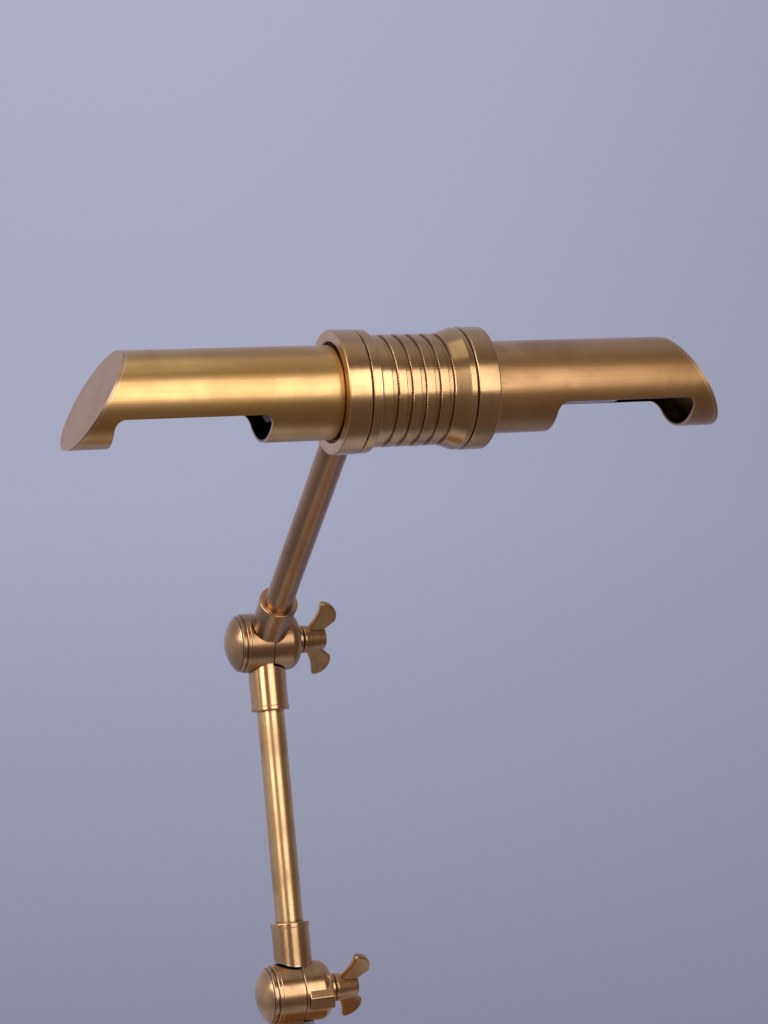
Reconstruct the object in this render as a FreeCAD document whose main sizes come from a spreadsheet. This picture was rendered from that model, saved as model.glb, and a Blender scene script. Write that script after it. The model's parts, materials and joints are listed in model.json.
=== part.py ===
import FreeCAD, Part
import math
import os
import re
import Sketcher

doc = FreeCAD.newDocument("piano_lamp")
sheet = doc.addObject("Spreadsheet::Sheet", "Sizes")

# Sizes in millimetres and degrees. The lamp stands on z = 0 with its stem on the z axis.
# The shade tubes lie along x, and the arms and the head reach forward, towards -y.
SIZES = {
    "running_gap": 0.06,
    "fit_gap": 0.05,
    "free_gap": 0.3,
    "fine_rounding": 0.5,
    "soft_rounding": 0.8,
    # arms
    "pivot_height": 150,
    "middle_length": 204,
    "middle_lean_angle": 15.6,
    "upper_length": 232,
    "upper_lean_angle": 43.9,
    "head_reach": 64.2,
    "rod_diameter": 16.2,
    "rod_wall": 1.2,
    "flex_diameter": 5.2,
    # knuckles, measured from the pivot along x and outward
    "knuckle_diameter": 35,
    "seam_place": 1.2,
    "seam_gap": 0.4,
    "seam_chamfer": 0.25,
    "left_barrel_end": 12.6,
    "right_barrel_end": 19.4,
    "shoulder_radius": 7,
    "ferrule_diameter": 22.1,
    "ferrule_lip": 22.6,
    "ferrule_lip_length": 3,
    "ferrule_end": 40.6,
    "ferrule_seat": 21,
    "ferrule_clearance": 1.25,
    "wire_way_diameter": 6,
    "wire_way_inset": 0.7,
    "wire_room_outer": 24,
    "wire_room_inner": 12,
    "wire_room_depth": 3.5,
    "friction_outer": 33.4,
    "friction_inner": 25,
    "lug_start": 3,
    "lug_end": 17.7,
    "lug_reach": 19.3,
    "lug_back": 13,
    "lug_bottom": 5.2,
    "lug_top": 2.2,
    "lug_crown": 10.3,
    "stud_diameter": 8,
    "stud_end": 36.4,
    "ring_width": 2.2,
    "ring_groove_width": 0.5,
    "ring_groove_depth": 0.35,
    "outer_ring_diameter": 34.8,
    "inner_ring_diameter": 33.2,
    "dome_diameter": 31.2,
    "dome_height": 5.9,
    "neck_washer_diameter": 17.6,
    "neck_washer_width": 2.6,
    # wing nut, measured along its axis from the face that meets the neck washer
    "nut_base_diameter": 16.6,
    "nut_top_diameter": 13.2,
    "nut_shoulder": 2,
    "nut_length": 14.9,
    "lower_nut_angle": 28,
    "middle_nut_angle": 21.5,
    "upper_nut_angle": 80,
    "ear_thickness": 4.2,
    "ear_root": 6,
    "ear_start": 2.8,
    "ear_end": 13.4,
    "ear_back": 23.6,
    "ear_back_place": 9.9,
    "ear_tip": 24.8,
    "ear_tip_place": 11.9,
    "ear_side": 12.2,
    "ear_side_place": 20.2,
    "ear_back_radius": 30,
    "ear_corner_radius": 1.6,
    "ear_lobe_radius": 9.8,
    "ear_rounding": 1.2,
    # shade tubes, measured from the middle of the head
    "tube_diameter": 45.6,
    "tube_wall": 1.5,
    "tube_start": 12,
    "window_start": 73.3,
    "window_drop": 9.1,
    "window_corner": 5,
    "left_end_reach": 154.8,
    "right_end_reach": 152.8,
    "left_window_inset": 6.2,
    "right_window_inset": 4.2,
    "end_slant_angle": 31,
    "left_end_twist_angle": 8.5,
    "right_end_twist_angle": -2.7,
    "left_shade_angle": 4.5,
    "right_shade_angle": 7.8,
    "cap_thickness": 1.8,
    # sleeve and collars, measured from the middle of the head, and outward from the tube
    "land_rise": 4.5,
    "groove_count": 5,
    "groove_width": 2.6,
    "groove_depth": 1.3,
    "groove_rounding": 0.4,
    "groove_pitch": 7.17,
    "flange_rise": 7,
    "flange_start": 21.4,
    "flange_end": 26.7,
    "slope_start": 16.4,
    "slope_end": 23.5,
    "spigot_rise": 4.2,
    "spigot_end": 31,
    "spot_face": 25.2,
    "collar_rise": 7.3,
    "collar_line": 0.4,
    "collar_end": 38.6,
    "mouth_rise": 1.4,
    "mouth_depth": 4.2,
    "friction_ring_rise": 3,
    # what the head holds inside, measured from its middle
    "block_width": 16,
    "bracket_stud_diameter": 10,
    "bracket_stud_start": 11,
    "bracket_stud_grip": 16,
    "nipple_diameter": 10,
    "nipple_bore": 6,
    "nipple_end": 20,
    "holder_diameter": 27,
    "holder_start": 14,
    "holder_floor": 51,
    "holder_end": 70,
    "bulb_cap_diameter": 14,
    "bulb_cap_start": 53,
    "bulb_neck_diameter": 18.4,
    "bulb_neck_end": 75,
    "bulb_diameter": 19,
    "bulb_tip": 120,
    "bulb_wall": 1,
    # base, measured up from the table
    "base_diameter": 190,
    "base_step_width": 4.5,
    "base_step_height": 9,
    "base_height": 28,
    "base_edge_radius": 5,
    "shell_wall": 2,
    "pad_thickness": 2,
    "pad_inset": 1,
    "plate_thickness": 2,
    "weight_play": 2,
    "stem_foot": 7,
    "stem_nut_width": 24,
    "stem_nut_height": 6,
    "stem_washer_diameter": 30,
    "stem_washer_height": 1.6,
    "nut_room_diameter": 34,
    "nut_room_height": 15,
    "flange_foot_diameter": 54,
    "flange_foot_height": 4,
    "flange_waist_diameter": 26,
    "flange_waist_height": 10,
    "flange_cove_radius": 12,
    "flange_top_height": 16,
    "plate_screw_inset": 26.5,
    "plate_screw_angle": 30,
    "plate_screw_diameter": 4,
    "plate_screw_head": 8,
    "plate_screw_length": 10,
    "plate_screw_count": 3,
    "inlet_height": 16,
    "inlet_bore": 6.4,
    "inlet_thread": 9.2,
    "inlet_head": 13,
    "inlet_head_length": 4,
    "inlet_length": 9,
    "wire_channel_width": 9,
    "switch_inset": 32,
    "switch_angle": -45,
    "switch_room": 28,
    "switch_body_diameter": 25,
    "switch_body_height": 17,
    "switch_neck": 12,
    "switch_neck_rise": 4,
    "switch_nut_diameter": 18,
    "switch_nut_height": 3,
    "button_diameter": 9,
    "button_rise": 5,
    "button_travel": 3,
    "button_length": 16,
}
for row, (alias, number) in enumerate(SIZES.items(), 1):
    sheet.set(f"A{row}", alias.replace("_", " "))
    sheet.set(f"B{row}", str(number))
    sheet.setAlias(f"B{row}", alias)
doc.recompute()

# Places worked out from the sizes: (y, z) of the three pivots and of the head's middle
LOWER = ("0", "pivot_height")
MIDDLE = ("middle_length * sin(middle_lean_angle)",
          "(pivot_height + middle_length * cos(middle_lean_angle))")
UPPER = (f"({MIDDLE[0]} - upper_length * sin(upper_lean_angle))",
         f"({MIDDLE[1]} + upper_length * cos(upper_lean_angle))")
HEAD = (f"({UPPER[0]} - head_reach)", UPPER[1])
LEFT_SEAM = "(seam_place - seam_gap / 2)"
RIGHT_SEAM = "(seam_place + seam_gap / 2)"
TUBE = "(tube_diameter / 2)"
TUBE_BORE = f"({TUBE} - tube_wall)"
SLEEVE_BORE = f"({TUBE} + running_gap)"
SPIGOT = f"({TUBE} + spigot_rise)"
PLATE_TOP = "(pad_thickness + plate_thickness)"
SHELL_INSIDE = "(base_height - shell_wall)"
WEIGHT_TOP = f"({SHELL_INSIDE} - free_gap)"
FAR = "(2 * tube_diameter)"
RIM = "(base_diameter / 2)"
STEP = f"({RIM} - base_step_width)"
WEIGHT_EDGE = f"({STEP} - shell_wall - weight_play)"
SWITCH_REACH = f"({RIM} - switch_inset)"
SAME_PLACE = 1e-3


def linked(formula):
    """Point every size named in a formula at its cell."""
    return re.sub(r"[A-Za-z_]\w*", lambda word: "Sizes." + word[0] if word[0] in SIZES else word[0], formula)


def value(formula):
    """Give a formula's number now."""
    return float(sheet.evalExpression(linked(formula)))


def bind(thing, **formulas):
    for name, formula in formulas.items():
        thing.setExpression(name, linked(formula))


def at(thing, x="0", y="0", z="0", axis=None, angle="0"):
    """Put a thing at bound coordinates, turned by a bound angle about an axis through its own origin."""
    if axis:
        thing.Placement = FreeCAD.Placement(FreeCAD.Vector(), FreeCAD.Rotation(FreeCAD.Vector(*axis), 1))
        thing.setExpression("Placement.Rotation.Angle", linked(angle))
    for letter, formula in zip("xyz", (x, y, z)):
        thing.setExpression(f"Placement.Base.{letter}", linked(formula))
    return thing


def about_x(y, z, angle):
    """(y, z) turned about the x axis by an angle."""
    return f"({y}) * cos({angle}) - ({z}) * sin({angle})", f"({y}) * sin({angle}) + ({z}) * cos({angle})"


def along(pivot, distance, angle):
    """(y, z) at a distance from a pivot, in a direction that leans forward from upright by an angle."""
    return f"{pivot[0]} - ({distance}) * sin({angle})", f"{pivot[1]} + ({distance}) * cos({angle})"


# Sketches

def sketch_on(body, role, name):
    sketch = body.newObject("Sketcher::SketchObject", name)
    plane = next(plane for plane in body.Origin.OriginFeatures if plane.Role == role)
    sketch.AttachmentSupport = (plane, "")
    sketch.MapMode = "FlatFace"
    return sketch


def pin_point(sketch, side, end, corner):
    """Hold one end of a side at a corner given by two formulas."""
    for kind, axis, formula in (("DistanceX", -2, corner[0]), ("DistanceY", -1, corner[1])):
        if abs(value(formula)) < SAME_PLACE:
            sketch.addConstraint(Sketcher.Constraint("PointOnObject", side, end, axis))
        else:
            number = sketch.addConstraint(Sketcher.Constraint(kind, -1, 1, side, end, value(formula)))
            sketch.setExpression(f"Constraints[{number}]", linked(formula))


def arc_centre(start, end, radius, bulge):
    """Centre of the arc from start to end. It bulges left or right, or has its centre on the x axis."""
    if bulge == "axis":
        foot = (end.dot(end) - start.dot(start)) / (2 * (end.x - start.x))
        return FreeCAD.Vector(foot, 0, 0)
    chord = end - start
    across = FreeCAD.Vector(-chord.y, chord.x, 0).normalize()
    drop = math.sqrt(radius ** 2 - (chord.Length / 2) ** 2)
    return (start + end) / 2 + across * (drop if bulge == "right" else -drop)


def draw_arc(sketch, start, end, radius, bulge):
    """Add an arc and tell which of its ends comes first on the way from start to end."""
    size = None if radius is None else value(radius)
    centre = arc_centre(start, end, size, bulge)
    angles = [math.atan2(point.y - centre.y, point.x - centre.x) for point in (start, end)]
    anticlockwise = (end - start).cross(centre - start).z > 0
    first, last = angles if anticlockwise else reversed(angles)
    if last < first:
        last += 2 * math.pi
    circle = Part.Circle(centre, FreeCAD.Vector(0, 0, 1), (start - centre).Length)
    side = sketch.addGeometry(Part.ArcOfCircle(circle, first, last), False)
    if bulge == "axis":
        sketch.addConstraint(Sketcher.Constraint("PointOnObject", side, 3, -1))
    else:
        number = sketch.addConstraint(Sketcher.Constraint("Radius", side, size))
        sketch.setExpression(f"Constraints[{number}]", linked(radius))
    return (side, 1, 2) if anticlockwise else (side, 2, 1)


def draw(sketch, corners):
    """Draw a closed outline of corners (across, up), or (across, up, radius, bulge) where an arc ends."""
    points = [FreeCAD.Vector(value(corner[0]), value(corner[1]), 0) for corner in corners]
    sides = []
    for index, corner in enumerate(corners):
        if len(corner) == 2:
            side = sketch.addGeometry(Part.LineSegment(points[index - 1], points[index]), False)
            sides.append((side, 1, 2))
        else:
            sides.append(draw_arc(sketch, points[index - 1], points[index], *corner[2:]))
    for index, (side, first, last) in enumerate(sides):
        following, start, _ = sides[(index + 1) % len(sides)]
        sketch.addConstraint(Sketcher.Constraint("Coincident", side, last, following, start))
        pin_point(sketch, side, last, corners[index])
    return sketch


# Features

def turned(name, corners, axis="z"):
    """Turn an outline about z, drawn as (out, up), or about x, drawn as (along, out)."""
    body = doc.addObject("PartDesign::Body", name)
    outline = draw(sketch_on(body, "XZ_Plane", name + "_outline"), corners)
    turn = body.newObject("PartDesign::Revolution", name + "_turning")
    turn.Profile = outline
    turn.ReferenceAxis = (outline, ["V_Axis" if axis == "z" else "H_Axis"])
    turn.Angle = 360
    doc.recompute()
    return body


def soften(body, kind, size, spots, axis="z"):
    """Fillet or chamfer the round edges that match (radius, place along the axis)."""
    base = body.Tip
    names = []
    for number, edge in enumerate(base.Shape.Edges, 1):
        if not edge.Degenerated and isinstance(edge.Curve, Part.Circle):
            for radius, place in spots:
                off_radius = abs(edge.Curve.Radius - value(radius))
                off_place = abs(getattr(edge.Curve.Center, axis) - value(place))
                if off_radius + off_place < SAME_PLACE:
                    names.append(f"Edge{number}")
    feature = body.newObject("PartDesign::" + kind, f"{body.Name}_{kind}_{len(body.Group)}")
    feature.Base = (base, names)
    feature.setExpression("Radius" if kind == "Fillet" else "Size", linked(size))
    doc.recompute()
    return body


def soften_rims(body, base, size, chosen):
    """Fillet the edges whose middle point is chosen."""
    names = []
    for number, edge in enumerate(base.Shape.Edges, 1):
        if chosen(edge.valueAt((edge.FirstParameter + edge.LastParameter) / 2)):
            names.append(f"Edge{number}")
    soft = body.newObject("PartDesign::Fillet", body.Name + "_rounding")
    soft.Base = (base, names)
    bind(soft, Radius=size)
    doc.recompute()


def side_pocket(body, name, corners):
    """Cut an outline, seen from the front, right through a body from front to back."""
    pocket = body.newObject("PartDesign::Pocket", name)
    pocket.Profile = draw(sketch_on(body, "XZ_Plane", name + "_outline"), corners)
    pocket.Type = "ThroughAll"
    pocket.Midplane = True
    doc.recompute()
    return body


def rod(name, diameter, length, axis="z"):
    """Plain cylinder from the origin along an axis."""
    solid = doc.addObject("Part::Cylinder", name)
    bind(solid, Radius=f"({diameter}) / 2", Height=length)
    if axis == "x":
        solid.Placement = FreeCAD.Placement(FreeCAD.Vector(), FreeCAD.Rotation(FreeCAD.Vector(0, 1, 0), 90))
    if axis == "y":
        solid.Placement = FreeCAD.Placement(FreeCAD.Vector(), FreeCAD.Rotation(FreeCAD.Vector(1, 0, 0), -90))
    return solid


def bar(name, x, y, z):
    """Plain block with its low corner at the origin."""
    solid = doc.addObject("Part::Box", name)
    bind(solid, Length=x, Width=y, Height=z)
    return solid


def joined(name, *parts):
    whole = doc.addObject("Part::MultiFuse", name)
    whole.Shapes = list(parts)
    whole.Refine = False
    return whole


def without(name, base, *tools):
    """Cut tools out of a base."""
    cut = doc.addObject("Part::Cut", name)
    cut.Base = base
    cut.Tool = tools[0] if len(tools) == 1 else joined(name + "_room", *tools)
    cut.Refine = False
    return cut


nodes = []


def node(thing, label):
    """Name a finished sub-part, which is written to its own file."""
    thing.Label = label
    nodes.append(thing)
    return thing


# Knuckle: two halves clamped by a wing nut on a stud, with a domed cap on the other end

def knuckle_barrel(name, side):
    radius = "knuckle_diameter / 2"
    if side == "left":
        barrel = turned(name, [("-left_barrel_end", "0"), (LEFT_SEAM, "0"), (LEFT_SEAM, radius),
                               ("-left_barrel_end", radius)], "x")
        rims = [(radius, LEFT_SEAM), (radius, "-left_barrel_end")]
        return soften(barrel, "Chamfer", "seam_chamfer", rims, "x")
    barrel = turned(name, [(RIGHT_SEAM, "0"), ("right_barrel_end", "0"), ("right_barrel_end", radius),
                           (RIGHT_SEAM, radius)], "x")
    soften(barrel, "Fillet", "shoulder_radius", [(radius, "right_barrel_end")], "x")
    return soften(barrel, "Chamfer", "seam_chamfer", [(radius, RIGHT_SEAM)], "x")


def ferrule(name, end):
    """Ferrule from the pivot along z, with a lip at its outer end."""
    lip = "ferrule_lip / 2"
    tube = "ferrule_diameter / 2"
    shape = turned(name, [("0", "0"), (tube, "0"), (tube, f"{end} - ferrule_lip_length"),
                          (lip, f"{end} - ferrule_lip_length + fine_rounding"), (lip, end), ("0", end)])
    return soften(shape, "Fillet", "soft_rounding", [(lip, end)])


def lug(name, angle):
    """Pad with a sloping top, which faces straight forward when the half is turned by the angle."""
    body = doc.addObject("PartDesign::Body", name)
    pad = body.newObject("PartDesign::Pad", name + "_pad")
    pad.Profile = draw(sketch_on(body, "YZ_Plane", name + "_outline"),
                       [("-lug_back", "-lug_bottom"), ("-lug_reach", "-lug_bottom"),
                        ("-lug_reach", "lug_top"), ("-lug_back", "lug_crown")])
    bind(pad, Length="lug_end - lug_start")
    doc.recompute()
    soften_rims(body, pad, "soft_rounding", lambda middle: middle.y < -value("lug_back") - SAME_PLACE)
    return at(body, "lug_start", axis=(1, 0, 0), angle=f"-({angle})")


def knuckle_half(label, side, pivot, angle, end, bore, with_lug):
    """One half of a knuckle with its ferrule, which leans forward from upright by the angle."""
    parts = [knuckle_barrel(label + "_barrel", side), ferrule(label + "_ferrule", end)]
    if with_lug:
        parts.append(lug(label + "_lug", angle))
    whole = joined(label + "_solid", *parts)
    left = side == "left"
    other_half = rod(label + "_other_half", "knuckle_diameter + 2 * ferrule_clearance", FAR, "x")
    at(other_half, LEFT_SEAM if left else f"{RIGHT_SEAM} - {FAR}")
    rod_room = at(rod(label + "_rod_room", bore, FAR), z="ferrule_seat")
    pivot_room = at(rod(label + "_pivot_room", "stud_diameter + 2 * running_gap", FAR, "x"), "-tube_diameter")
    wire_way = rod(label + "_wire_way", "wire_way_diameter", "ferrule_seat")
    inset = "(wire_way_diameter / 2 + wire_way_inset)"
    at(wire_way, f"{LEFT_SEAM} - {inset}" if left else f"{RIGHT_SEAM} + {inset}", z="wire_room_outer / 4")
    wire_room = turned(label + "_wire_room",
                       [("0", "wire_room_inner / 2"), ("wire_room_depth", "wire_room_inner / 2"),
                        ("wire_room_depth", "wire_room_outer / 2"), ("0", "wire_room_outer / 2")], "x")
    at(wire_room, f"{LEFT_SEAM} - wire_room_depth" if left else RIGHT_SEAM)
    half = without(label, whole, other_half, rod_room, pivot_room, wire_way, wire_room)
    return node(at(half, "0", *pivot, (1, 0, 0), angle), label)


def friction_washer(label, pivot):
    width = "seam_gap - fit_gap"
    inner = "friction_inner / 2"
    outer = "friction_outer / 2"
    washer = turned(label, [("0", inner), (width, inner), (width, outer), ("0", outer)], "x")
    return node(at(washer, LEFT_SEAM, *pivot), label)


def dome_cap(label, pivot):
    """Domed cap with two stepped rings, drawn outward from the barrel and turned to the left."""
    outer = "outer_ring_diameter / 2"
    inner = "inner_ring_diameter / 2"
    rim = "dome_diameter / 2"
    first_floor = f"{inner} - ring_groove_depth"
    second_floor = f"{rim} - ring_groove_depth"
    second = "(ring_width + ring_groove_width)"
    base = f"2 * {second}"
    cap = turned(label + "_shape",
                 [("0", "0"), ("0", outer), ("ring_width", outer), ("ring_width", first_floor),
                  (second, first_floor), (second, inner), (f"{second} + ring_width", inner),
                  (f"{second} + ring_width", second_floor), (base, second_floor), (base, rim),
                  (f"{base} + dome_height", "0", None, "axis")], "x")
    soften(cap, "Fillet", "soft_rounding", [(outer, "ring_width"), (inner, f"{second} + ring_width")], "x")
    soften(cap, "Fillet", "ring_groove_depth / 2", [(outer, "0"), (inner, second)], "x")
    drilled = without(label, cap, rod(label + "_hole", "stud_diameter + 2 * fit_gap", base, "x"))
    return node(at(drilled, "-left_barrel_end", *pivot, (0, 0, 1), "180"), label)


def pivot_stud(label, pivot):
    """Stud from inside the domed cap to just inside the end of the wing nut."""
    start = "(left_barrel_end + 2 * ring_width + ring_groove_width)"
    return node(at(rod(label, "stud_diameter", f"{start} + stud_end", "x"), f"-{start}", *pivot), label)


def neck_washer(label, pivot):
    hole = "stud_diameter / 2 + fit_gap"
    rim = "neck_washer_diameter / 2"
    width = "neck_washer_width"
    washer = turned(label, [("0", hole), (width, hole), (width, rim), ("0", rim)], "x")
    soften(washer, "Fillet", "fine_rounding", [(rim, "0"), (rim, width)], "x")
    return node(at(washer, "right_barrel_end + fit_gap", *pivot), label)


def wing_nut(label, pivot, angle):
    """Hub with two leaf-shaped ears, turned from upright towards the front."""
    nut = doc.addObject("PartDesign::Body", label)
    outline = draw(sketch_on(nut, "XZ_Plane", label + "_ear_outline"),
                   [("ear_start", "ear_root"), ("ear_back_place", "ear_back", "ear_back_radius", "right"),
                    ("ear_tip_place", "ear_tip", "ear_corner_radius", "left"),
                    ("ear_side_place", "ear_side", "ear_lobe_radius", "left"), ("ear_end", "ear_root")])
    ear = nut.newObject("PartDesign::Pad", label + "_ear")
    ear.Profile = outline
    ear.Midplane = True
    bind(ear, Length="ear_thickness")
    doc.recompute()
    half = value("ear_thickness / 2")
    soften_rims(nut, ear, "ear_rounding", lambda middle: abs(abs(middle.y) - half) < SAME_PLACE)
    pair = nut.newObject("PartDesign::PolarPattern", label + "_ears")
    pair.TransformMode = "Whole shape"
    pair.Axis = (outline, ["H_Axis"])
    pair.Angle = 360
    pair.Occurrences = 2
    nut.Tip = pair
    doc.recompute()
    hole = "stud_diameter / 2 + running_gap"
    base = "nut_base_diameter / 2"
    top = "nut_top_diameter / 2"
    hub = nut.newObject("PartDesign::Revolution", label + "_hub")
    hub.Profile = draw(sketch_on(nut, "XZ_Plane", label + "_hub_outline"),
                       [("0", hole), ("nut_length", hole), ("nut_length", f"{top} - fine_rounding"),
                        ("nut_length - fine_rounding", top), ("nut_shoulder", base),
                        ("0", f"{base} - nut_shoulder", "nut_shoulder", "right")])
    hub.ReferenceAxis = (hub.Profile[0], ["H_Axis"])
    hub.Angle = 360
    doc.recompute()
    at(nut, "right_barrel_end + neck_washer_width + 2 * fit_gap", *pivot, (1, 0, 0), angle)
    return node(nut, label)


def knuckle(name, pivot, left_angle, right_angle, right_end="ferrule_end",
            right_bore="rod_diameter + 2 * fit_gap", with_lug=False):
    knuckle_half(f"{name}_knuckle_left_half", "left", pivot, left_angle, "ferrule_end",
                 "rod_diameter + 2 * fit_gap", False)
    knuckle_half(f"{name}_knuckle_right_half", "right", pivot, right_angle, right_end, right_bore, with_lug)
    friction_washer(f"{name}_friction_washer", pivot)
    dome_cap(f"{name}_dome_cap", pivot)
    pivot_stud(f"{name}_pivot_stud", pivot)
    neck_washer(f"{name}_neck_washer", pivot)
    wing_nut(f"{name}_wing_nut", pivot, f"{name}_nut_angle")


knuckle("lower", LOWER, "180", "-middle_lean_angle", with_lug=True)
knuckle("middle", MIDDLE, "180 - middle_lean_angle", "upper_lean_angle")
knuckle("upper", UPPER, "180 + upper_lean_angle", "90", right_end="(head_reach - spot_face)",
        right_bore="bracket_stud_diameter + 2 * fit_gap")


# Rods between the knuckles, each a tube with a stretch of flex inside

def hollow_rod(name, start, reach, angle):
    """Tube and flex from a start point (y, z), leaning forward from upright by the angle."""
    tube = without(name + "_rod", rod(name + "_rod_outside", "rod_diameter", reach),
                   rod(name + "_rod_inside", "rod_diameter - 2 * rod_wall", reach))
    node(at(tube, "0", *start, (1, 0, 0), angle), name + "_rod")
    flex = rod(name + "_flex", "flex_diameter", reach)
    aside = "rod_diameter / 2 - rod_wall - flex_diameter / 2 - free_gap"
    node(at(flex, aside, *start, (1, 0, 0), angle), name + "_flex")


SEAT = "(ferrule_seat + free_gap)"
for name, start, angle in (("middle", LOWER, "-middle_lean_angle"), ("upper", MIDDLE, "upper_lean_angle")):
    hollow_rod(name, along(start, SEAT, angle), f"{name}_length - 2 * {SEAT}", angle)
hollow_rod("stem", ("0", "stem_foot"), f"pivot_height - {SEAT} - stem_foot", "0")


# Head: ribbed sleeve with a spot face at the back, where the upper knuckle's ferrule meets it

def ribbed_sleeve():
    land = f"({TUBE} + land_rise)"
    flange = f"({TUBE} + flange_rise)"
    sleeve = turned("ribbed_sleeve_turning",
                    [("-spigot_end", SLEEVE_BORE), ("spigot_end", SLEEVE_BORE), ("spigot_end", SPIGOT),
                     ("flange_end", SPIGOT), ("flange_end", flange), ("slope_end", flange),
                     ("slope_start", land), ("-flange_start", land), ("-flange_start", flange),
                     ("-flange_end", flange), ("-flange_end", SPIGOT), ("-spigot_end", SPIGOT)], "x")
    edges = [(flange, place) for place in ("slope_end", "flange_end", "-flange_start", "-flange_end")]
    soften(sleeve, "Fillet", "soft_rounding", edges, "x")
    first = "(groove_count - 1) / 2 * groove_pitch"
    floor = f"{land} - groove_depth"
    outline = draw(sketch_on(sleeve, "XZ_Plane", "rib_groove_outline"),
                   [(f"-{first} - groove_width / 2", floor), (f"-{first} + groove_width / 2", floor),
                    (f"-{first} + groove_width / 2", flange), (f"-{first} - groove_width / 2", flange)])
    groove = sleeve.newObject("PartDesign::Groove", "rib_groove")
    groove.Profile = outline
    groove.ReferenceAxis = (outline, ["H_Axis"])
    groove.Angle = 360
    doc.recompute()
    row = sleeve.newObject("PartDesign::LinearPattern", "rib_grooves")
    row.Originals = [groove]
    row.Direction = (outline, ["H_Axis"])
    bind(row, Length="(groove_count - 1) * groove_pitch", Occurrences="groove_count")
    sleeve.Tip = row
    doc.recompute()
    middles = [f"({number} * groove_pitch - {first})" for number in range(int(value("groove_count")))]
    rims = [(land, f"{middle} {way} groove_width / 2") for middle in middles for way in "-+"]
    soften(sleeve, "Fillet", "groove_rounding", rims, "x")
    spot = at(rod("spot_face_room", "ferrule_lip + 2 * free_gap", FAR, "y"), y="spot_face")
    stud_hole = rod("sleeve_stud_hole", "bracket_stud_diameter + 2 * fit_gap", FAR, "y")
    return node(at(without("ribbed_sleeve", sleeve, spot, stud_hole), "0", *HEAD), "ribbed_sleeve")


def collar(label, sign):
    """Collar screwed on the sleeve's spigot, with a wide mouth round the shade tube."""
    outer = f"{TUBE} + collar_rise"
    start = "flange_end + collar_line"
    thread = f"{SPIGOT} + fit_gap"
    pocket = f"{TUBE} + friction_ring_rise + free_gap"
    lip = f"{TUBE} + free_gap"
    mouth = f"{TUBE} + mouth_rise"
    step = "collar_end - mouth_depth"
    floor = f"{sign}(spigot_end + free_gap)"
    lip_start = f"{sign}({step} - soft_rounding)"
    shape = turned(label, [(f"{sign}({start})", thread), (floor, thread), (floor, pocket),
                           (lip_start, pocket), (lip_start, lip), (f"{sign}({step})", lip),
                           (f"{sign}({step})", mouth), (f"{sign}collar_end", mouth),
                           (f"{sign}collar_end", outer), (f"{sign}({start})", outer)], "x")
    soften(shape, "Fillet", "soft_rounding",
           [(outer, f"{sign}collar_end"), (outer, f"{sign}({start})"), (mouth, f"{sign}collar_end")], "x")
    return node(at(shape, "0", *HEAD), label)


def friction_ring(label, sign):
    """Ring that grips the shade tube between the sleeve's spigot and the collar's lip."""
    outer = f"{TUBE} + friction_ring_rise"
    start = f"{sign}(spigot_end + fit_gap)"
    end = f"{sign}(collar_end - mouth_depth - soft_rounding - fit_gap)"
    ring = turned(label, [(start, SLEEVE_BORE), (end, SLEEVE_BORE), (end, outer), (start, outer)], "x")
    return node(at(ring, "0", *HEAD), label)


def end_slab(name, side, sign, inner, outer):
    """Slanting slab across a tube's end, between two distances from the outer face of its cap."""
    lean = "tube_diameter * tan(end_slant_angle)"
    top = f"{side}_end_reach - {lean}"
    bottom = f"{side}_end_reach + {lean}"
    slab = doc.addObject("PartDesign::Body", name)
    pad = slab.newObject("PartDesign::Pad", name + "_pad")
    pad.Profile = draw(sketch_on(slab, "XZ_Plane", name + "_outline"),
                       [(f"{sign}({top} + {inner})", "tube_diameter"),
                        (f"{sign}({bottom} + {inner})", "-tube_diameter"),
                        (f"{sign}({bottom} + {outer})", "-tube_diameter"),
                        (f"{sign}({top} + {outer})", "tube_diameter")])
    pad.Midplane = True
    bind(pad, Length="2 * tube_diameter")
    doc.recompute()
    return at(slab, axis=(1, 0, 0), angle=f"{side}_end_twist_angle")


def shade_tube(side, sign):
    """Tube with a slanting outer end and a window cut in its underside."""
    label = f"{side}_shade_tube"
    end = f"{sign}({side}_end_reach + tube_diameter)"
    tube = turned(label + "_turning", [(f"{sign}tube_start", TUBE_BORE), (end, TUBE_BORE), (end, TUBE),
                                       (f"{sign}tube_start", TUBE)], "x")
    below = f"-{TUBE} - window_corner"
    last = f"({side}_end_reach - {side}_window_inset)"
    corner = "-window_drop - window_corner"
    bulge = "right" if sign else "left"
    side_pocket(tube, label + "_window",
                [(f"{sign}window_start", below), (f"{sign}window_start", corner),
                 (f"{sign}(window_start + window_corner)", "-window_drop", "window_corner", bulge),
                 (f"{sign}({last} - window_corner)", "-window_drop"),
                 (sign + last, corner, "window_corner", bulge), (sign + last, below)])
    past_cap = end_slab(label + "_end_room", side, sign, "-cap_thickness", FAR)
    shade = without(label, tube, past_cap)
    return node(at(shade, "0", *HEAD, (1, 0, 0), f"-{side}_shade_angle"), label)


def end_cap(side, sign):
    """Oval plate on the slanting end, as wide as the tube."""
    label = f"{side}_end_cap"
    cap = doc.addObject("Part::Common", label)
    cap.Base = end_slab(label + "_slab", side, sign, "-cap_thickness", "0")
    cap.Tool = at(rod(label + "_round", "tube_diameter", "4 * right_end_reach", "x"), "-2 * right_end_reach")
    return node(at(cap, "0", *HEAD, (1, 0, 0), f"-{side}_shade_angle"), label)


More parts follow.
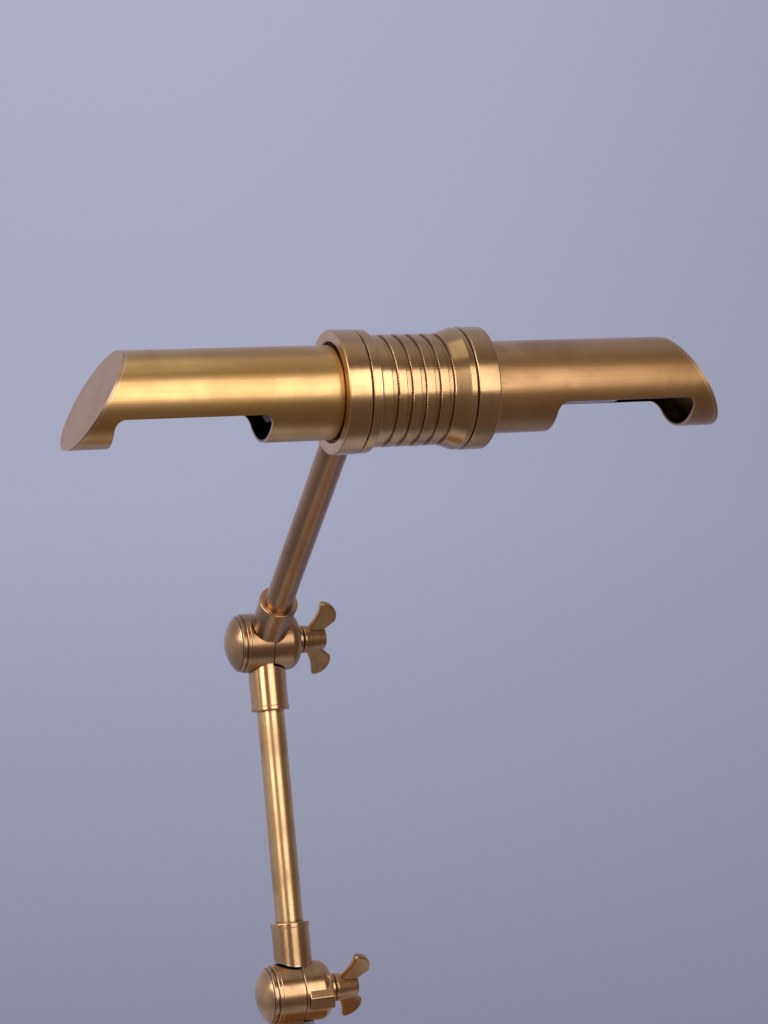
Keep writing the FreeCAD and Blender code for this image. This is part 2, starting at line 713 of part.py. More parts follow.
def lampholder(label, sign):
    """Holder screwed on the nipple, with a socket for the bulb's cap."""
    outer = "holder_diameter / 2"
    thread = "nipple_diameter / 2 + fit_gap"
    socket = "bulb_cap_diameter / 2 + free_gap"
    start = f"{sign}holder_start"
    step = f"{sign}(nipple_end + free_gap)"
    floor = f"{sign}holder_floor"
    end = f"{sign}holder_end"
    holder = turned(label, [(start, thread), (step, thread), (step, "nipple_bore / 2"),
                            (floor, "nipple_bore / 2"), (floor, socket), (end, socket),
                            (end, outer), (start, outer)], "x")
    soften(holder, "Fillet", "soft_rounding", [(outer, end), (outer, start)], "x")
    return node(at(holder, "0", *HEAD), label)


def bulb(name, sign):
    """Screw cap with a metal neck, and a tubular glass with a round end."""
    screw = "bulb_cap_diameter / 2"
    neck = "bulb_neck_diameter / 2"
    neck_start = f"{sign}(holder_end + free_gap)"
    cap = turned(f"{name}_bulb_cap", [(f"{sign}bulb_cap_start", "0"), (f"{sign}bulb_cap_start", screw),
                                      (neck_start, screw), (neck_start, neck), (f"{sign}bulb_neck_end", neck),
                                      (f"{sign}bulb_neck_end", "0")], "x")
    soften(cap, "Fillet", "soft_rounding", [(screw, f"{sign}bulb_cap_start"), (neck, neck_start)], "x")
    node(at(cap, "0", *HEAD), f"{name}_bulb_cap")
    radius = "bulb_diameter / 2"
    inside = "(bulb_diameter / 2 - bulb_wall)"
    shoulder = f"{sign}(bulb_tip - {radius})"
    glass = turned(f"{name}_bulb_glass",
                   [(f"{sign}bulb_neck_end", inside), (f"{sign}bulb_neck_end", radius), (shoulder, radius),
                    (f"{sign}bulb_tip", "0", None, "axis"), (f"{sign}(bulb_tip - bulb_wall)", "0"),
                    (shoulder, inside, None, "axis")], "x")
    node(at(glass, "0", *HEAD), f"{name}_bulb_glass")


def head_core():
    """Centre block, the stud that holds it to the knuckle, and the nipple that carries the lampholders."""
    solid = at(rod("centre_block_solid", "tube_diameter - fit_gap", "block_width", "x"), "-block_width / 2")
    nipple_hole = at(rod("nipple_hole", "nipple_diameter + 2 * fit_gap", FAR, "x"), "-tube_diameter")
    stud_hole = at(rod("stud_hole", "bracket_stud_diameter + 2 * fit_gap", FAR, "y"),
                   y="bracket_stud_start - free_gap")
    centre = without("centre_block", solid, nipple_hole, stud_hole)
    node(at(centre, "0", *HEAD), "centre_block")
    length = "spot_face + bracket_stud_grip - bracket_stud_start"
    stud = rod("bracket_stud", "bracket_stud_diameter", length, "y")
    node(at(stud, "0", f"{HEAD[0]} + bracket_stud_start", HEAD[1]), "bracket_stud")
    outside = rod("nipple_outside", "nipple_diameter", "2 * nipple_end", "x")
    inside = rod("nipple_inside", "nipple_bore", "2 * nipple_end", "x")
    node(at(without("holder_nipple", outside, inside), "-nipple_end", *HEAD), "holder_nipple")


ribbed_sleeve()
head_core()
for side, sign in (("left", "-"), ("right", "")):
    collar(f"{side}_collar", sign)
    friction_ring(f"{side}_friction_ring", sign)
    shade_tube(side, sign)
    end_cap(side, sign)
    lampholder(f"{side}_lampholder", sign)
    bulb(side, sign)


# Base: spun shell over a cast weight, closed by a plate and a felt pad

SWITCH = (f"{SWITCH_REACH} * cos(switch_angle)", f"{SWITCH_REACH} * sin(switch_angle)")
STEM_HOLE = "rod_diameter + 2 * fit_gap"


def base_shell():
    inner_rim = f"({RIM} - shell_wall)"
    inner_step = f"({STEP} - shell_wall)"
    under_step = "base_step_height - shell_wall"
    shell = turned("base_shell_turning",
                   [("0", SHELL_INSIDE), (inner_step, SHELL_INSIDE), (inner_step, under_step),
                    (inner_rim, under_step), (inner_rim, "pad_thickness"),
                    (RIM, "pad_thickness"), (RIM, "base_step_height"), (STEP, "base_step_height"),
                    (STEP, "base_height"), ("0", "base_height")])
    soften(shell, "Fillet", "base_edge_radius", [(STEP, "base_height")])
    soften(shell, "Fillet", "base_edge_radius / 3", [(RIM, "base_step_height")])
    soften(shell, "Fillet", "base_edge_radius - shell_wall", [(inner_step, SHELL_INSIDE)])
    stem_hole = rod("shell_stem_hole", STEM_HOLE, FAR)
    switch_hole = at(rod("shell_switch_hole", "switch_neck + 2 * fit_gap", FAR), *SWITCH)
    inlet_hole = rod("shell_inlet_hole", "inlet_thread + 2 * fit_gap", "base_diameter", "y")
    at(inlet_hole, z="inlet_height")
    return node(without("base_shell", shell, stem_hole, switch_hole, inlet_hole), "base_shell")


def base_weight():
    """Cast weight with rooms for the stem's nut, the switch, the cable and the plate's screws."""
    solid = at(rod("weight_solid", f"2 * {WEIGHT_EDGE}", f"{WEIGHT_TOP} - {PLATE_TOP}"), z=PLATE_TOP)
    stem_hole = rod("weight_stem_hole", STEM_HOLE, FAR)
    nut_room = rod("weight_nut_room", "nut_room_diameter", "nut_room_height")
    switch_room = at(rod("weight_switch_room", "switch_room", FAR), *SWITCH)
    half = "wire_channel_width / 2"
    to_inlet = bar("channel_to_inlet", "wire_channel_width", "base_diameter", "nut_room_height")
    at(to_inlet, f"-{half}")
    to_switch = bar("channel_to_switch", SWITCH_REACH, "wire_channel_width", "nut_room_height")
    side = (f"{half} * sin(switch_angle)", f"-{half} * cos(switch_angle)")
    at(to_switch, *side, axis=(0, 0, 1), angle="switch_angle")
    inlet_room = bar("inlet_room", "inlet_head", "base_diameter", "inlet_height + inlet_head / 2")
    at(inlet_room, "-inlet_head / 2", f"{STEP} - inlet_length - inlet_head / 2")
    rooms = [stem_hole, nut_room, switch_room, to_inlet, to_switch, inlet_room]
    for number, spot in enumerate(screw_spots()):
        hole = rod(f"weight_screw_hole_{number}", "plate_screw_diameter + 2 * fit_gap",
                   "pad_thickness + plate_screw_length + free_gap")
        rooms.append(at(hole, *spot))
    return node(without("base_weight", solid, *rooms), "base_weight")


def screw_spots():
    """(x, y) of each screw on the plate's screw circle."""
    count = int(value("plate_screw_count"))
    angles = [f"(plate_screw_angle + {number} * 360 / plate_screw_count)" for number in range(count)]
    reach = f"({WEIGHT_EDGE} - plate_screw_inset)"
    return [(f"{reach} * cos({angle})", f"{reach} * sin({angle})") for angle in angles]


def plate_screw(name, spot):
    """Countersunk screw with its head flush with the plate's underside."""
    head = doc.addObject("Part::Cone", name + "_head")
    bind(head, Radius1="plate_screw_head / 2", Radius2="plate_screw_diameter / 2", Height="plate_thickness")
    return at(joined(name, head, rod(name + "_shank", "plate_screw_diameter", "plate_screw_length")),
              *spot, "pad_thickness")


def countersink(name, spot):
    """Room in the plate for a screw, with a little play all round."""
    room = doc.addObject("Part::Cone", name)
    bind(room, Radius1="plate_screw_head / 2 + fit_gap", Radius2="plate_screw_diameter / 2 + fit_gap",
         Height="plate_thickness")
    return at(room, *spot, "pad_thickness")


def base_bottom():
    """Plate that closes the shell, its screws and the felt pad under it."""
    disc = at(rod("base_plate_disc", "base_diameter - 2 * shell_wall - 2 * free_gap", "plate_thickness"),
              z="pad_thickness")
    spots = screw_spots()
    sinks = [countersink(f"countersink_{number}", spot) for number, spot in enumerate(spots)]
    node(without("base_plate", disc, *sinks), "base_plate")
    screws = doc.addObject("Part::Compound", "plate_screws")
    screws.Links = [plate_screw(f"plate_screw_{number}", spot) for number, spot in enumerate(spots)]
    node(screws, "plate_screws")
    node(rod("felt_pad", f"2 * ({RIM} - pad_inset)", "pad_thickness"), "felt_pad")


def stem_fixing():
    """Flange on top of the base, and the washer and nut that pull the stem down from below."""
    hole = "rod_diameter / 2 + fit_gap"
    foot = "flange_foot_diameter / 2"
    waist = "flange_waist_diameter / 2"
    flange = turned("stem_flange",
                    [(hole, "0"), (foot, "0"), (foot, "flange_foot_height"),
                     (waist, "flange_waist_height", "flange_cove_radius", "left"),
                     (waist, "flange_top_height"), (hole, "flange_top_height")])
    soften(flange, "Fillet", "soft_rounding", [(foot, "flange_foot_height"), (waist, "flange_top_height")])
    node(at(flange, z="base_height"), "stem_flange")
    washer_under = "(nut_room_height - stem_washer_height)"
    washer = without("stem_washer", rod("stem_washer_disc", "stem_washer_diameter", "stem_washer_height"),
                     rod("stem_washer_hole", STEM_HOLE, "stem_washer_height"))
    node(at(washer, z=washer_under), "stem_washer")
    hexagon = doc.addObject("Part::Prism", "stem_nut_hexagon")
    hexagon.Polygon = 6
    bind(hexagon, Circumradius="stem_nut_width / sqrt(3)", Height="stem_nut_height")
    nut = without("stem_nut", hexagon, rod("stem_nut_hole", STEM_HOLE, "stem_nut_height"))
    node(at(nut, z=f"{washer_under} - stem_nut_height"), "stem_nut")


def inlet_bush():
    """Bush in the back of the shell, where the mains lead goes in."""
    bore = "inlet_bore / 2"
    head = "inlet_head / 2"
    bush = turned("inlet_bush", [(bore, "0"), ("inlet_thread / 2", "0"), ("inlet_thread / 2", "inlet_length"),
                                 (head, "inlet_length"), (head, "inlet_length + inlet_head_length"),
                                 (bore, "inlet_length + inlet_head_length")])
    top = "inlet_length + inlet_head_length"
    soften(bush, "Fillet", "soft_rounding", [(head, top), (bore, top), (bore, "0")])
    return node(at(bush, "0", f"{STEP} - inlet_length", "inlet_height", (1, 0, 0), "-90"), "inlet_bush")


def push_switch():
    """Switch body under the shell, its ring nut on top, and the button that travels down in its neck."""
    neck = "switch_neck / 2"
    body = "switch_body_diameter / 2"
    room = "button_diameter / 2 + free_gap"
    neck_top = "switch_body_height + shell_wall + switch_neck_rise"
    floor = f"{neck_top} + button_rise - button_length - button_travel - free_gap"
    casing = turned("switch_body", [("0", "0"), (body, "0"), (body, "switch_body_height"),
                                    (neck, "switch_body_height"), (neck, neck_top), (room, neck_top),
                                    (room, floor), ("0", floor)])
    node(at(casing, *SWITCH, f"{SHELL_INSIDE} - switch_body_height"), "switch_body")
    rim = "switch_nut_diameter / 2"
    hole = "switch_neck / 2 + fit_gap"
    ring = turned("switch_ring_nut", [(hole, "0"), (rim, "0"), (rim, "switch_nut_height"),
                                      (hole, "switch_nut_height")])
    soften(ring, "Fillet", "soft_rounding", [(rim, "switch_nut_height")])
    node(at(ring, *SWITCH, "base_height"), "switch_ring_nut")
    button = turned("switch_button", [("0", "0"), ("button_diameter / 2", "0"),
                                      ("button_diameter / 2", "button_length"), ("0", "button_length")])
    soften(button, "Fillet", "2 * soft_rounding", [("button_diameter / 2", "button_length")])
    node(at(button, *SWITCH, "base_height + switch_neck_rise + button_rise - button_length"), "switch_button")


base_shell()
base_weight()
base_bottom()
stem_fixing()
inlet_bush()
push_switch()

# Check every object and write each sub-part to its own file
doc.recompute()
faults = [thing.Name for thing in doc.Objects if {"Invalid", "Error"} & set(thing.State)]
faults += [thing.Label for thing in nodes if thing.Shape.isNull() or not thing.Shape.isValid()]
if faults:
    raise RuntimeError("failed: " + ", ".join(faults))
os.makedirs("parts", exist_ok=True)
for thing in nodes:
    thing.Shape.exportStep(f"parts/{thing.Label}.step")
    print(f"{thing.Label}: {len(thing.Shape.Solids)} solid, {thing.Shape.Volume:.0f} mm3")
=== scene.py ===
import json
import math

import bpy
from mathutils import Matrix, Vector

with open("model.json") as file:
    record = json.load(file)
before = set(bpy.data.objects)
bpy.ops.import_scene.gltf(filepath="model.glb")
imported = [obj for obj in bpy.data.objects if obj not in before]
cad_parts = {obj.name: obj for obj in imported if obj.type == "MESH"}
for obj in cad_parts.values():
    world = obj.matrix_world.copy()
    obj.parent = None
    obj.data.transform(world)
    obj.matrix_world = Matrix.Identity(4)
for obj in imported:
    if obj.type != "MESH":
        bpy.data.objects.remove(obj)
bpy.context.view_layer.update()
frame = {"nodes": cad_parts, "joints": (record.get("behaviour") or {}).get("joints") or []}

nodes = frame["nodes"]
joints = {joint["name"]: joint for joint in frame["joints"]}
MM = 0.001

# Where the lamp's turned parts have their centre lines
HEAD = Vector(joints["left_shade_turn"]["pos_m"])
LOWER = Vector(joints["lower_hinge"]["pos_m"])
MIDDLE = Vector(joints["middle_hinge"]["pos_m"])
UPPER = Vector(joints["upper_hinge"]["pos_m"])
SHADE_WALL_MIDDLE = 22 * MM

# Sizes of the marks on the brass, and how far its painted shade and painted highlight reach, in millimetres
LINE_LENGTH = 60
CLOUD = 38
SPECK = 2.6
HOLLOW_PATINA_AND_SHADE_REACH = 2.0
RUBBED_AND_HIGHLIGHT_REACH = 0.9

# Table top: its radius, and where it starts and ends to fade, in metres
TABLE_RADIUS = 0.55
FADE_START = 0.16
FADE_END = 0.34

# Camera: its place in metres, its pitch down and its turn to the right in degrees, and its lens and
# sensor in millimetres
EYE = (-0.3891, -1.1592, 0.6052)
PITCH = 8.10
TURN = 20.95
LENS = 77.2
SENSOR_HEIGHT = 36


def lean(low, high):
    """How far a rod between two pivots leans forward from upright, in radians."""
    return math.atan2(low.y - high.y, high.z - low.z)


# Colour and nodes

def hue(code):
    """Linear colour of an sRGB hex code."""
    channels = [int(code[start:start + 2], 16) / 255 for start in (1, 3, 5)]
    return [c / 12.92 if c <= 0.04045 else ((c + 0.055) / 1.055) ** 2.4 for c in channels] + [1]


def add(tree, kind, inputs=None, **settings):
    """Add a node, with its settings, and its inputs as numbers or as links from other nodes."""
    made = tree.nodes.new("ShaderNode" + kind)
    for name, setting in settings.items():
        setattr(made, name, setting)
    for name, given in (inputs or {}).items():
        if isinstance(given, bpy.types.NodeSocket):
            tree.links.new(given, made.inputs[name])
        else:
            made.inputs[name].default_value = given
    return made


def new_material(name):
    material = bpy.data.materials.new(name)
    material.use_nodes = True
    material.node_tree.nodes.clear()
    return material, material.node_tree


def finish_material(material, tree, shader):
    add(tree, "OutputMaterial", {"Surface": shader.outputs[0]})
    return material


def per(size):
    """Noise scale that gives features of a size in millimetres."""
    return 1 / (size * MM)


def ramp(tree, factor, low, high, to_low=0.0, to_high=1.0):
    """Spread the part of a factor from low to high over a new range."""
    spread = add(tree, "MapRange", {"Value": factor, "From Min": low, "From Max": high,
                                    "To Min": to_low, "To Max": to_high}, interpolation_type="SMOOTHSTEP")
    return spread.outputs[0]


def blend(tree, factor, first, second):
    """Mix two colours, given as hex codes or as links."""
    colours = [hue(colour) if isinstance(colour, str) else colour for colour in (first, second)]
    return add(tree, "Mix", {0: factor, 6: colours[0], 7: colours[1]}, data_type="RGBA").outputs[2]


def stretched(tree, along, fine, slow, angle=0.0):
    """Coordinates that make a noise run in lines: fine across them and slow along them, in millimetres.

    The lines go round or along the x axis, round the z axis, down a slope, or straight along an axis that
    leans forward by an angle.
    """
    place = add(tree, "TexCoord").outputs["Object"]
    if along == "round z":
        parts = add(tree, "SeparateXYZ", {0: place})
        flat = add(tree, "CombineXYZ", {0: parts.outputs[0], 1: parts.outputs[1]}).outputs[0]
        radius = add(tree, "VectorMath", {0: flat}, operation="LENGTH").outputs["Value"]
        round_z = add(tree, "CombineXYZ", {0: radius, 1: 0.0, 2: parts.outputs[2]}).outputs[0]
        return add(tree, "Mapping", {"Vector": round_z, "Scale": (per(fine), 1, per(fine))}).outputs[0]
    scale = {"round x": (per(fine), per(slow), per(slow)), "along x": (per(slow), per(fine), per(fine)),
             "straight": (per(fine), per(fine), per(slow)),
             "down a slope": (per(slow), per(fine), per(slow))}[along]
    turned = add(tree, "Mapping", {"Vector": place, "Rotation": (-angle, 0, 0)}).outputs[0]
    return add(tree, "Mapping", {"Vector": turned, "Scale": scale}).outputs[0]


# Metals

def aged_brass(name, bright, dull, along, angle=0.0, gloss=0.3, lines=0.8, depth=0.01, inside=None):
    """Brass that was brushed, toned brown with liver of sulphur, rubbed back and lacquered.

    The eye sees a warm satin sheen with fine brush lines, soft brown clouds, brown toning in the grooves
    deepened by painted shade, and a paler line on the edges that is partly rubbed wear and partly painted
    highlight. The thin lacquer makes the strongest highlights paler.
    """
    material, tree = new_material(name)
    place = add(tree, "TexCoord").outputs["Object"]
    strokes = stretched(tree, along, lines, LINE_LENGTH, angle)
    brush = add(tree, "TexNoise", {"Vector": strokes, "Scale": 1.0, "Detail": 3.0,
                                   "Roughness": 0.6}).outputs[0]
    clouds = add(tree, "TexNoise", {"Vector": place, "Scale": per(CLOUD), "Detail": 5.0, "Roughness": 0.55,
                                    "Distortion": 0.4}).outputs[0]
    specks = add(tree, "TexNoise", {"Vector": place, "Scale": per(SPECK), "Detail": 2.0}).outputs[0]
    toned = blend(tree, ramp(tree, clouds, 0.38, 0.66, 0.0, 0.7), bright, dull)
    toned = blend(tree, ramp(tree, brush, 0.40, 0.66, 0.0, 0.24), toned, dull)
    toned = blend(tree, ramp(tree, specks, 0.66, 0.76, 0.0, 0.22), toned, "#7A5A36")
    # Painted shade: darker brown where the surface is hemmed in, in grooves and seams, on top of the brown
    # toning left there
    hollow_patina_and_shade = add(tree, "AmbientOcclusion", {"Distance": HOLLOW_PATINA_AND_SHADE_REACH * MM}, samples=8).outputs["AO"]
    toned = blend(tree, ramp(tree, hollow_patina_and_shade, 0.38, 0.92, 0.85, 0.0), toned, "#46301C")
    # Painted highlight: a pale cream line along convex edges, over the paler rubbed brass there
    rubbed_edge_and_highlight = add(tree, "AmbientOcclusion", {"Distance": RUBBED_AND_HIGHLIGHT_REACH * MM}, samples=8,
               inside=True).outputs["AO"]
    toned = blend(tree, ramp(tree, rubbed_edge_and_highlight, 0.35, 0.85, 0.7, 0.0), toned, "#F6E0B4")
    # Near black on the inner wall of the shade tubes
    if inside:
        toned = blend(tree, inside_tube(tree), toned, inside)
    rough = ramp(tree, clouds, 0.30, 0.70, gloss - 0.03, gloss + 0.06)
    relief = add(tree, "Bump", {"Height": brush, "Strength": 1.0, "Distance": depth * MM}).outputs[0]
    shader = add(tree, "BsdfPrincipled", {"Base Color": toned, "Metallic": 1.0, "Roughness": rough,
                                          "Normal": relief, "Coat Weight": 0.8, "Coat Roughness": 0.22})
    return finish_material(material, tree, shader)


def inside_tube(tree):
    """1 on the wall inside the shade tubes, 0 on their outside."""
    place = add(tree, "TexCoord").outputs["Object"]
    offset = add(tree, "VectorMath", {0: place, 1: HEAD}, operation="SUBTRACT")
    across = add(tree, "VectorMath", {0: offset.outputs[0], 1: (0, 1, 1)}, operation="MULTIPLY")
    radius = add(tree, "VectorMath", {0: across.outputs[0]}, operation="LENGTH").outputs["Value"]
    return add(tree, "Math", {0: radius, 1: SHADE_WALL_MIDDLE}, operation="LESS_THAN").outputs[0]


def bare_metal(name, bright, dull, gloss, grain):
    """Machined or plated metal, seen as an even sheen with a faint grain."""
    material, tree = new_material(name)
    place = add(tree, "TexCoord").outputs["Object"]
    speck = add(tree, "TexNoise", {"Vector": place, "Scale": per(grain), "Detail": 4.0}).outputs[0]
    colour = blend(tree, ramp(tree, speck, 0.35, 0.65), bright, dull)
    rough = ramp(tree, speck, 0.3, 0.7, gloss - 0.05, gloss + 0.1)
    relief = add(tree, "Bump", {"Height": speck, "Strength": 1.0, "Distance": 0.02 * MM}).outputs[0]
    shader = add(tree, "BsdfPrincipled", {"Base Color": colour, "Metallic": 1.0, "Roughness": rough,
                                          "Normal": relief})
    return finish_material(material, tree, shader)


# Other materials

def coated(name, body, shade, gloss, grain, depth, ior=1.5, metallic=0.0):
    """Moulded, cast or pressed matter with a fine uneven surface."""
    material, tree = new_material(name)
    place = add(tree, "TexCoord").outputs["Object"]
    rise = add(tree, "TexNoise", {"Vector": place, "Scale": per(grain), "Detail": 5.0,
                                  "Roughness": 0.6}).outputs[0]
    broad = add(tree, "TexNoise", {"Vector": place, "Scale": per(18), "Detail": 2.0}).outputs[0]
    colour = blend(tree, ramp(tree, rise, 0.35, 0.68), body, shade)
    colour = blend(tree, ramp(tree, broad, 0.4, 0.7, 0.0, 0.4), colour, shade)
    rough = ramp(tree, broad, 0.3, 0.7, gloss - 0.06, gloss + 0.08)
    relief = add(tree, "Bump", {"Height": rise, "Strength": 1.0, "Distance": depth * MM}).outputs[0]
    shader = add(tree, "BsdfPrincipled", {"Base Color": colour, "Metallic": metallic, "Roughness": rough,
                                          "IOR": ior, "Normal": relief})
    return finish_material(material, tree, shader)


def wool_felt(name):
    """Pressed wool felt: a dull green nap of fibres, drawn about a millimetre apart so that they show."""
    material, tree = new_material(name)
    place = add(tree, "TexCoord").outputs["Object"]
    fibres = add(tree, "TexNoise", {"Vector": place, "Scale": per(0.9), "Detail": 6.0, "Roughness": 0.7,
                                    "Distortion": 1.5}).outputs[0]
    colour = blend(tree, ramp(tree, fibres, 0.35, 0.65), "#24402F", "#3F6A4E")
    relief = add(tree, "Bump", {"Height": fibres, "Strength": 1.0, "Distance": 0.25 * MM}).outputs[0]
    shader = add(tree, "BsdfPrincipled", {"Base Color": colour, "Roughness": 0.95, "Normal": relief,
                                          "Sheen Weight": 0.4, "Sheen Roughness": 0.5})
    return finish_material(material, tree, shader)


def lamp_glass(name):
    """Clear blown lamp glass with a faint grey haze.

    It is seen as a dark hollow with a pale streak where light strikes it.
    """
    material, tree = new_material(name)
    place = add(tree, "TexCoord").outputs["Object"]
    haze = add(tree, "TexNoise", {"Vector": place, "Scale": per(9), "Detail": 3.0}).outputs[0]
    colour = blend(tree, ramp(tree, haze, 0.35, 0.65), "#DDE0DF", "#C6C9C8")
    rough = ramp(tree, haze, 0.3, 0.7, 0.02, 0.08)
    shader = add(tree, "BsdfPrincipled", {"Base Color": colour, "Roughness": rough, "IOR": 1.52,
                                          "Transmission Weight": 1.0})
    return finish_material(material, tree, shader)


BRIGHT = "#ECC080"
DULL = "#BC8E54"
finishes = {
    "middle_rod": aged_brass("drawn brass of the middle rod", BRIGHT, DULL, "straight",
                             -lean(LOWER, MIDDLE)),
    # Same drawn brass as the middle rod, painted darker as the shade that falls on the upper rod
    "upper_rod": aged_brass("drawn brass of the upper rod, painted darker as shaded", "#C08E58", "#8C6038", "straight",
                            -lean(MIDDLE, UPPER), gloss=0.36),
    "stem_rod": aged_brass("drawn brass of the stem", BRIGHT, DULL, "straight"),
    # The two shade tubes are the same brass: the left one is painted lighter for the light on it, the right
    # one darker as painted shade
    "left_shade_tube": aged_brass("left shade brass, painted lighter as lit", "#EDBE72", "#CF9A52", "along x", gloss=0.30,
                                  inside="#1A1410"),
    "right_shade_tube": aged_brass("right shade brass, painted darker as shaded", "#E0AC6C", "#B27F48", "along x", gloss=0.34,
                                   inside="#1A1410"),
    "left_end_cap": aged_brass("flat brushed brass", "#E0B27C", "#C0905E", "down a slope", gloss=0.36,
                               lines=1.2),
    "ribbed_sleeve": aged_brass("turned brass", "#E8B978", "#C08F55", "round x", gloss=0.2),
    "lower_dome_cap": aged_brass("turned brass of the knuckles", "#DEAD72", "#A3774A", "round x",
                                 gloss=0.23),
    "lower_wing_nut": aged_brass("cast brass", "#DDAA6C", "#A67642", "round x", gloss=0.24, lines=2.5,
                                 depth=0.05),
    "base_shell": aged_brass("spun brass", "#DDB078", "#AE8250", "round z", gloss=0.24),
    "centre_block": bare_metal("machined brass", "#D9B26A", "#B99550", 0.25, 0.8),
    "stem_nut": bare_metal("zinc plated steel", "#B9BCC0", "#9DA1A6", 0.3, 1.5),
    "base_plate": bare_metal("sheet steel", "#8F9194", "#77797C", 0.4, 2.0),
    "left_bulb_cap": bare_metal("nickelled lamp cap", "#C9CACB", "#ADAEB0", 0.25, 1.2),
    "base_weight": coated("sand cast iron", "#4C4B4A", "#2E2D2C", 0.62, 1.6, 0.2, metallic=0.7),
    "left_lampholder": coated("phenolic moulding", "#1C1A19", "#0F0E0E", 0.32, 2.0, 0.02, ior=1.6),
    "left_friction_ring": coated("nitrile rubber", "#222222", "#161616", 0.6, 0.9, 0.05, ior=1.52),
    "lower_friction_washer": coated("vulcanised fibre", "#7A3B2A", "#562418", 0.6, 1.1, 0.05, ior=1.55),
    "stem_flex": coated("PVC flex", "#191919", "#101010", 0.4, 3.0, 0.02, ior=1.53),
    "felt_pad": wool_felt("wool felt"),
    "left_bulb_glass": lamp_glass("clear lamp glass"),
}
SAME = {
    "ribbed_sleeve": ["left_collar", "right_collar"],
    "left_end_cap": ["right_end_cap"],
    "base_shell": ["stem_flange", "switch_ring_nut", "switch_button"],
    "centre_block": ["holder_nipple"],
    "stem_nut": ["stem_washer", "bracket_stud", "plate_screws"],
    "left_bulb_cap": ["right_bulb_cap"],
    "left_bulb_glass": ["right_bulb_glass"],
    "left_lampholder": ["right_lampholder", "switch_body"],
    "left_friction_ring": ["right_friction_ring"],
    "stem_flex": ["middle_flex", "upper_flex"],
    "lower_dome_cap": ["inlet_bush"],
}
for level in ("lower", "middle", "upper"):
    SAME["lower_dome_cap"] += [f"{level}_{part}" for part in
                               ("dome_cap", "knuckle_left_half", "knuckle_right_half", "neck_washer")]
    SAME["stem_nut"].append(f"{level}_pivot_stud")
    SAME.setdefault("lower_wing_nut", []).append(f"{level}_wing_nut")
    SAME.setdefault("lower_friction_washer", []).append(f"{level}_friction_washer")
for leader, followers in SAME.items():
    for follower in followers:
        finishes[follower] = finishes[leader]
for name, thing in nodes.items():
    thing.data.materials.clear()
    thing.data.materials.append(finishes[name])


# Floor, backdrop and light

def backdrop():
    """World with a lavender grey wall, which the metal shows with a dimmer room in front of the lamp.

    It gives everything else a plain neutral fill.
    """
    world = bpy.data.worlds.new("lavender grey wall")
    bpy.context.scene.world = world
    world.use_nodes = True
    tree = world.node_tree
    tree.nodes.clear()
    direction = add(tree, "SeparateXYZ", {0: add(tree, "TexCoord").outputs["Generated"]})
    # 0 straight below, 1 straight above
    height = add(tree, "Math", {0: direction.outputs[2], 1: 0.5, 2: 0.5},
                 operation="MULTIPLY_ADD").outputs[0]
    shades = add(tree, "ValToRGB", {0: height})
    stops = shades.color_ramp.elements
    stops[0].color = hue("#505166")
    stops[1].color = hue("#8F90A5")
    for place, code in ((0.32, "#8A8BA1"), (0.43, "#A6A8BF"), (0.544, "#AEB0C5"), (0.62, "#A3A4BA")):
        stops.new(place).color = hue(code)
    right = ramp(tree, direction.outputs[0], 0.25, 0.75, 0.0, 0.65)
    wall = blend(tree, right, shades.outputs[0], "#7C7D94")
    rays = add(tree, "LightPath")
    front = ramp(tree, direction.outputs[1], -0.55, 0.35, 0.85, 0.0)
    front = add(tree, "Math", {0: front, 1: rays.outputs["Is Glossy Ray"]}, operation="MULTIPLY").outputs[0]
    room = blend(tree, front, wall, "#5C4C42")
    seen = add(tree, "Background", {"Color": room, "Strength": 1.0})
    fill = add(tree, "Background", {"Color": hue("#D8D8DC"), "Strength": 0.55})
    straight = add(tree, "Math", {0: rays.outputs["Is Camera Ray"], 1: rays.outputs["Is Glossy Ray"]},
                   operation="MAXIMUM").outputs[0]
    straight = add(tree, "Math", {0: straight, 1: rays.outputs["Is Transmission Ray"]},
                   operation="MAXIMUM").outputs[0]
    mixed = add(tree, "MixShader", {0: straight, 1: fill.outputs[0], 2: seen.outputs[0]})
    add(tree, "OutputWorld", {"Surface": mixed.outputs[0]})


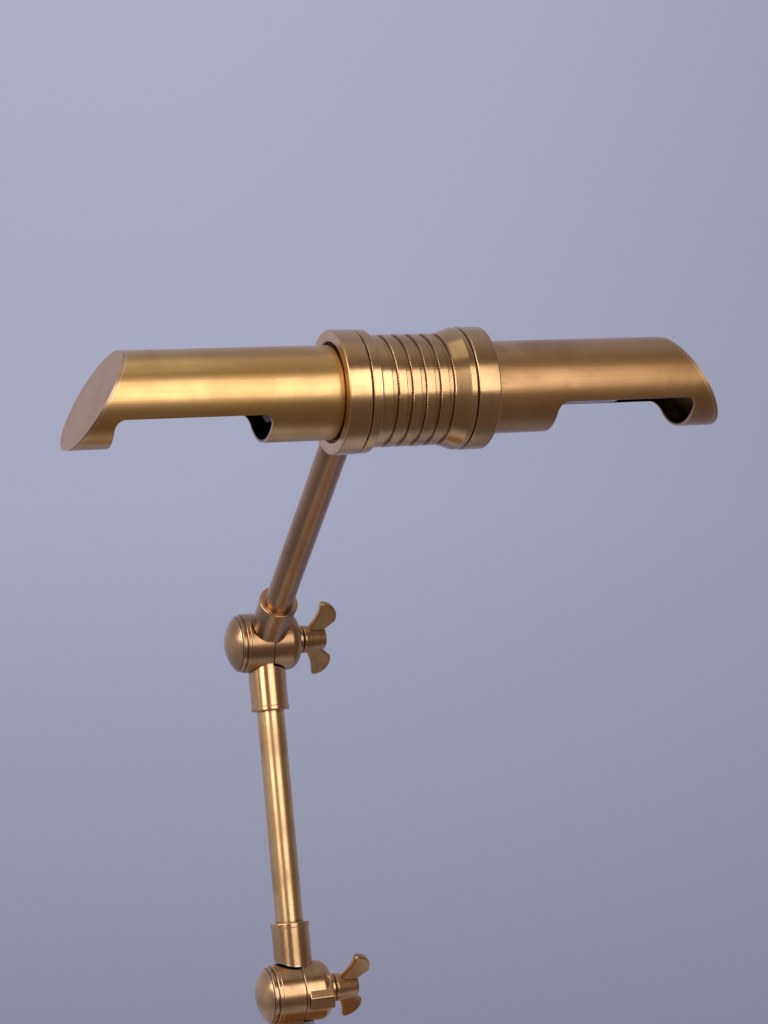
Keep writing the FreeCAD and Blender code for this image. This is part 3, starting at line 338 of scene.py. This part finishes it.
def floor():
    """Plain pale table top that fades into the backdrop away from the base."""
    mesh = bpy.data.meshes.new("pale_table_top")
    rings, sides = 6, 96
    points = [(0, 0, 0)]
    for ring in range(1, rings + 1):
        for side in range(sides):
            angle = 2 * math.pi * side / sides
            radius = TABLE_RADIUS * ring / rings
            points.append((radius * math.cos(angle), radius * math.sin(angle), 0))
    faces = [(0, 1 + side, 1 + (side + 1) % sides) for side in range(sides)]
    for ring in range(rings - 1):
        for side in range(sides):
            near = 1 + ring * sides
            after = (side + 1) % sides
            faces.append((near + side, near + sides + side, near + sides + after, near + after))
    mesh.from_pydata(points, [], faces)
    top = bpy.data.objects.new("pale_table_top", mesh)
    bpy.context.scene.collection.objects.link(top)
    material, tree = new_material("pale painted table top")
    place = add(tree, "TexCoord").outputs["Object"]
    away = add(tree, "VectorMath", {0: place}, operation="LENGTH").outputs["Value"]
    grain = add(tree, "TexNoise", {"Vector": place, "Scale": per(3), "Detail": 3.0}).outputs[0]
    colour = blend(tree, ramp(tree, grain, 0.3, 0.7), "#B9BACA", "#B4B5C6")
    paint = add(tree, "BsdfPrincipled", {"Base Color": colour, "Roughness": 0.8})
    clear = add(tree, "BsdfTransparent")
    fade = ramp(tree, away, FADE_START, FADE_END, 1.0, 0.0)
    mixed = add(tree, "MixShader", {0: fade, 1: clear.outputs[0], 2: paint.outputs[0]})
    top.data.materials.append(finish_material(material, tree, mixed))


def softbox(name, side, height, distance, wide, tall, brightness, colour="#FFFFFF"):
    """Softbox that faces the head, at an angle to the right of straight in front and an angle above it.

    Brightness is its radiance, where 1 shows as white.
    """
    data = bpy.data.lights.new(name, "AREA")
    data.shape = "RECTANGLE"
    data.size = wide
    data.size_y = tall
    data.energy = brightness * math.pi * wide * tall
    data.color = hue(colour)[:3]
    lamp = bpy.data.objects.new(name, data)
    side, height = math.radians(side), math.radians(height)
    level = math.cos(height)
    aim = Vector((level * math.sin(side), -level * math.cos(side), math.sin(height)))
    lamp.location = HEAD + aim * distance
    lamp.rotation_euler = aim.to_track_quat("Z", "Y").to_euler()
    bpy.context.scene.collection.objects.link(lamp)


def camera():
    """Camera where the photograph was taken from, with the lens that its perspective asks for."""
    data = bpy.data.cameras.new("camera")
    data.sensor_fit = "VERTICAL"
    data.sensor_height = SENSOR_HEIGHT
    data.lens = LENS
    data.clip_start = 0.01
    eye = bpy.data.objects.new("camera", data)
    eye.location = EYE
    eye.rotation_euler = (math.radians(90 - PITCH), 0, math.radians(-TURN))
    bpy.context.scene.collection.objects.link(eye)
    bpy.context.scene.camera = eye


backdrop()
floor()
softbox("right softbox", 11, 21, 1.8, 1.25, 1.45, 2.5, "#F0F2FF")
softbox("left softbox", -54, 22, 1.8, 0.8, 1.45, 4.0, "#F0F2FF")
softbox("side softbox", -95, 22, 1.8, 0.7, 1.2, 3.8, "#F0F2FF")
softbox("overhead softbox", 0, 84, 1.6, 1.2, 1.2, 0.4)
camera()
bpy.context.scene.view_settings.view_transform = "Standard"
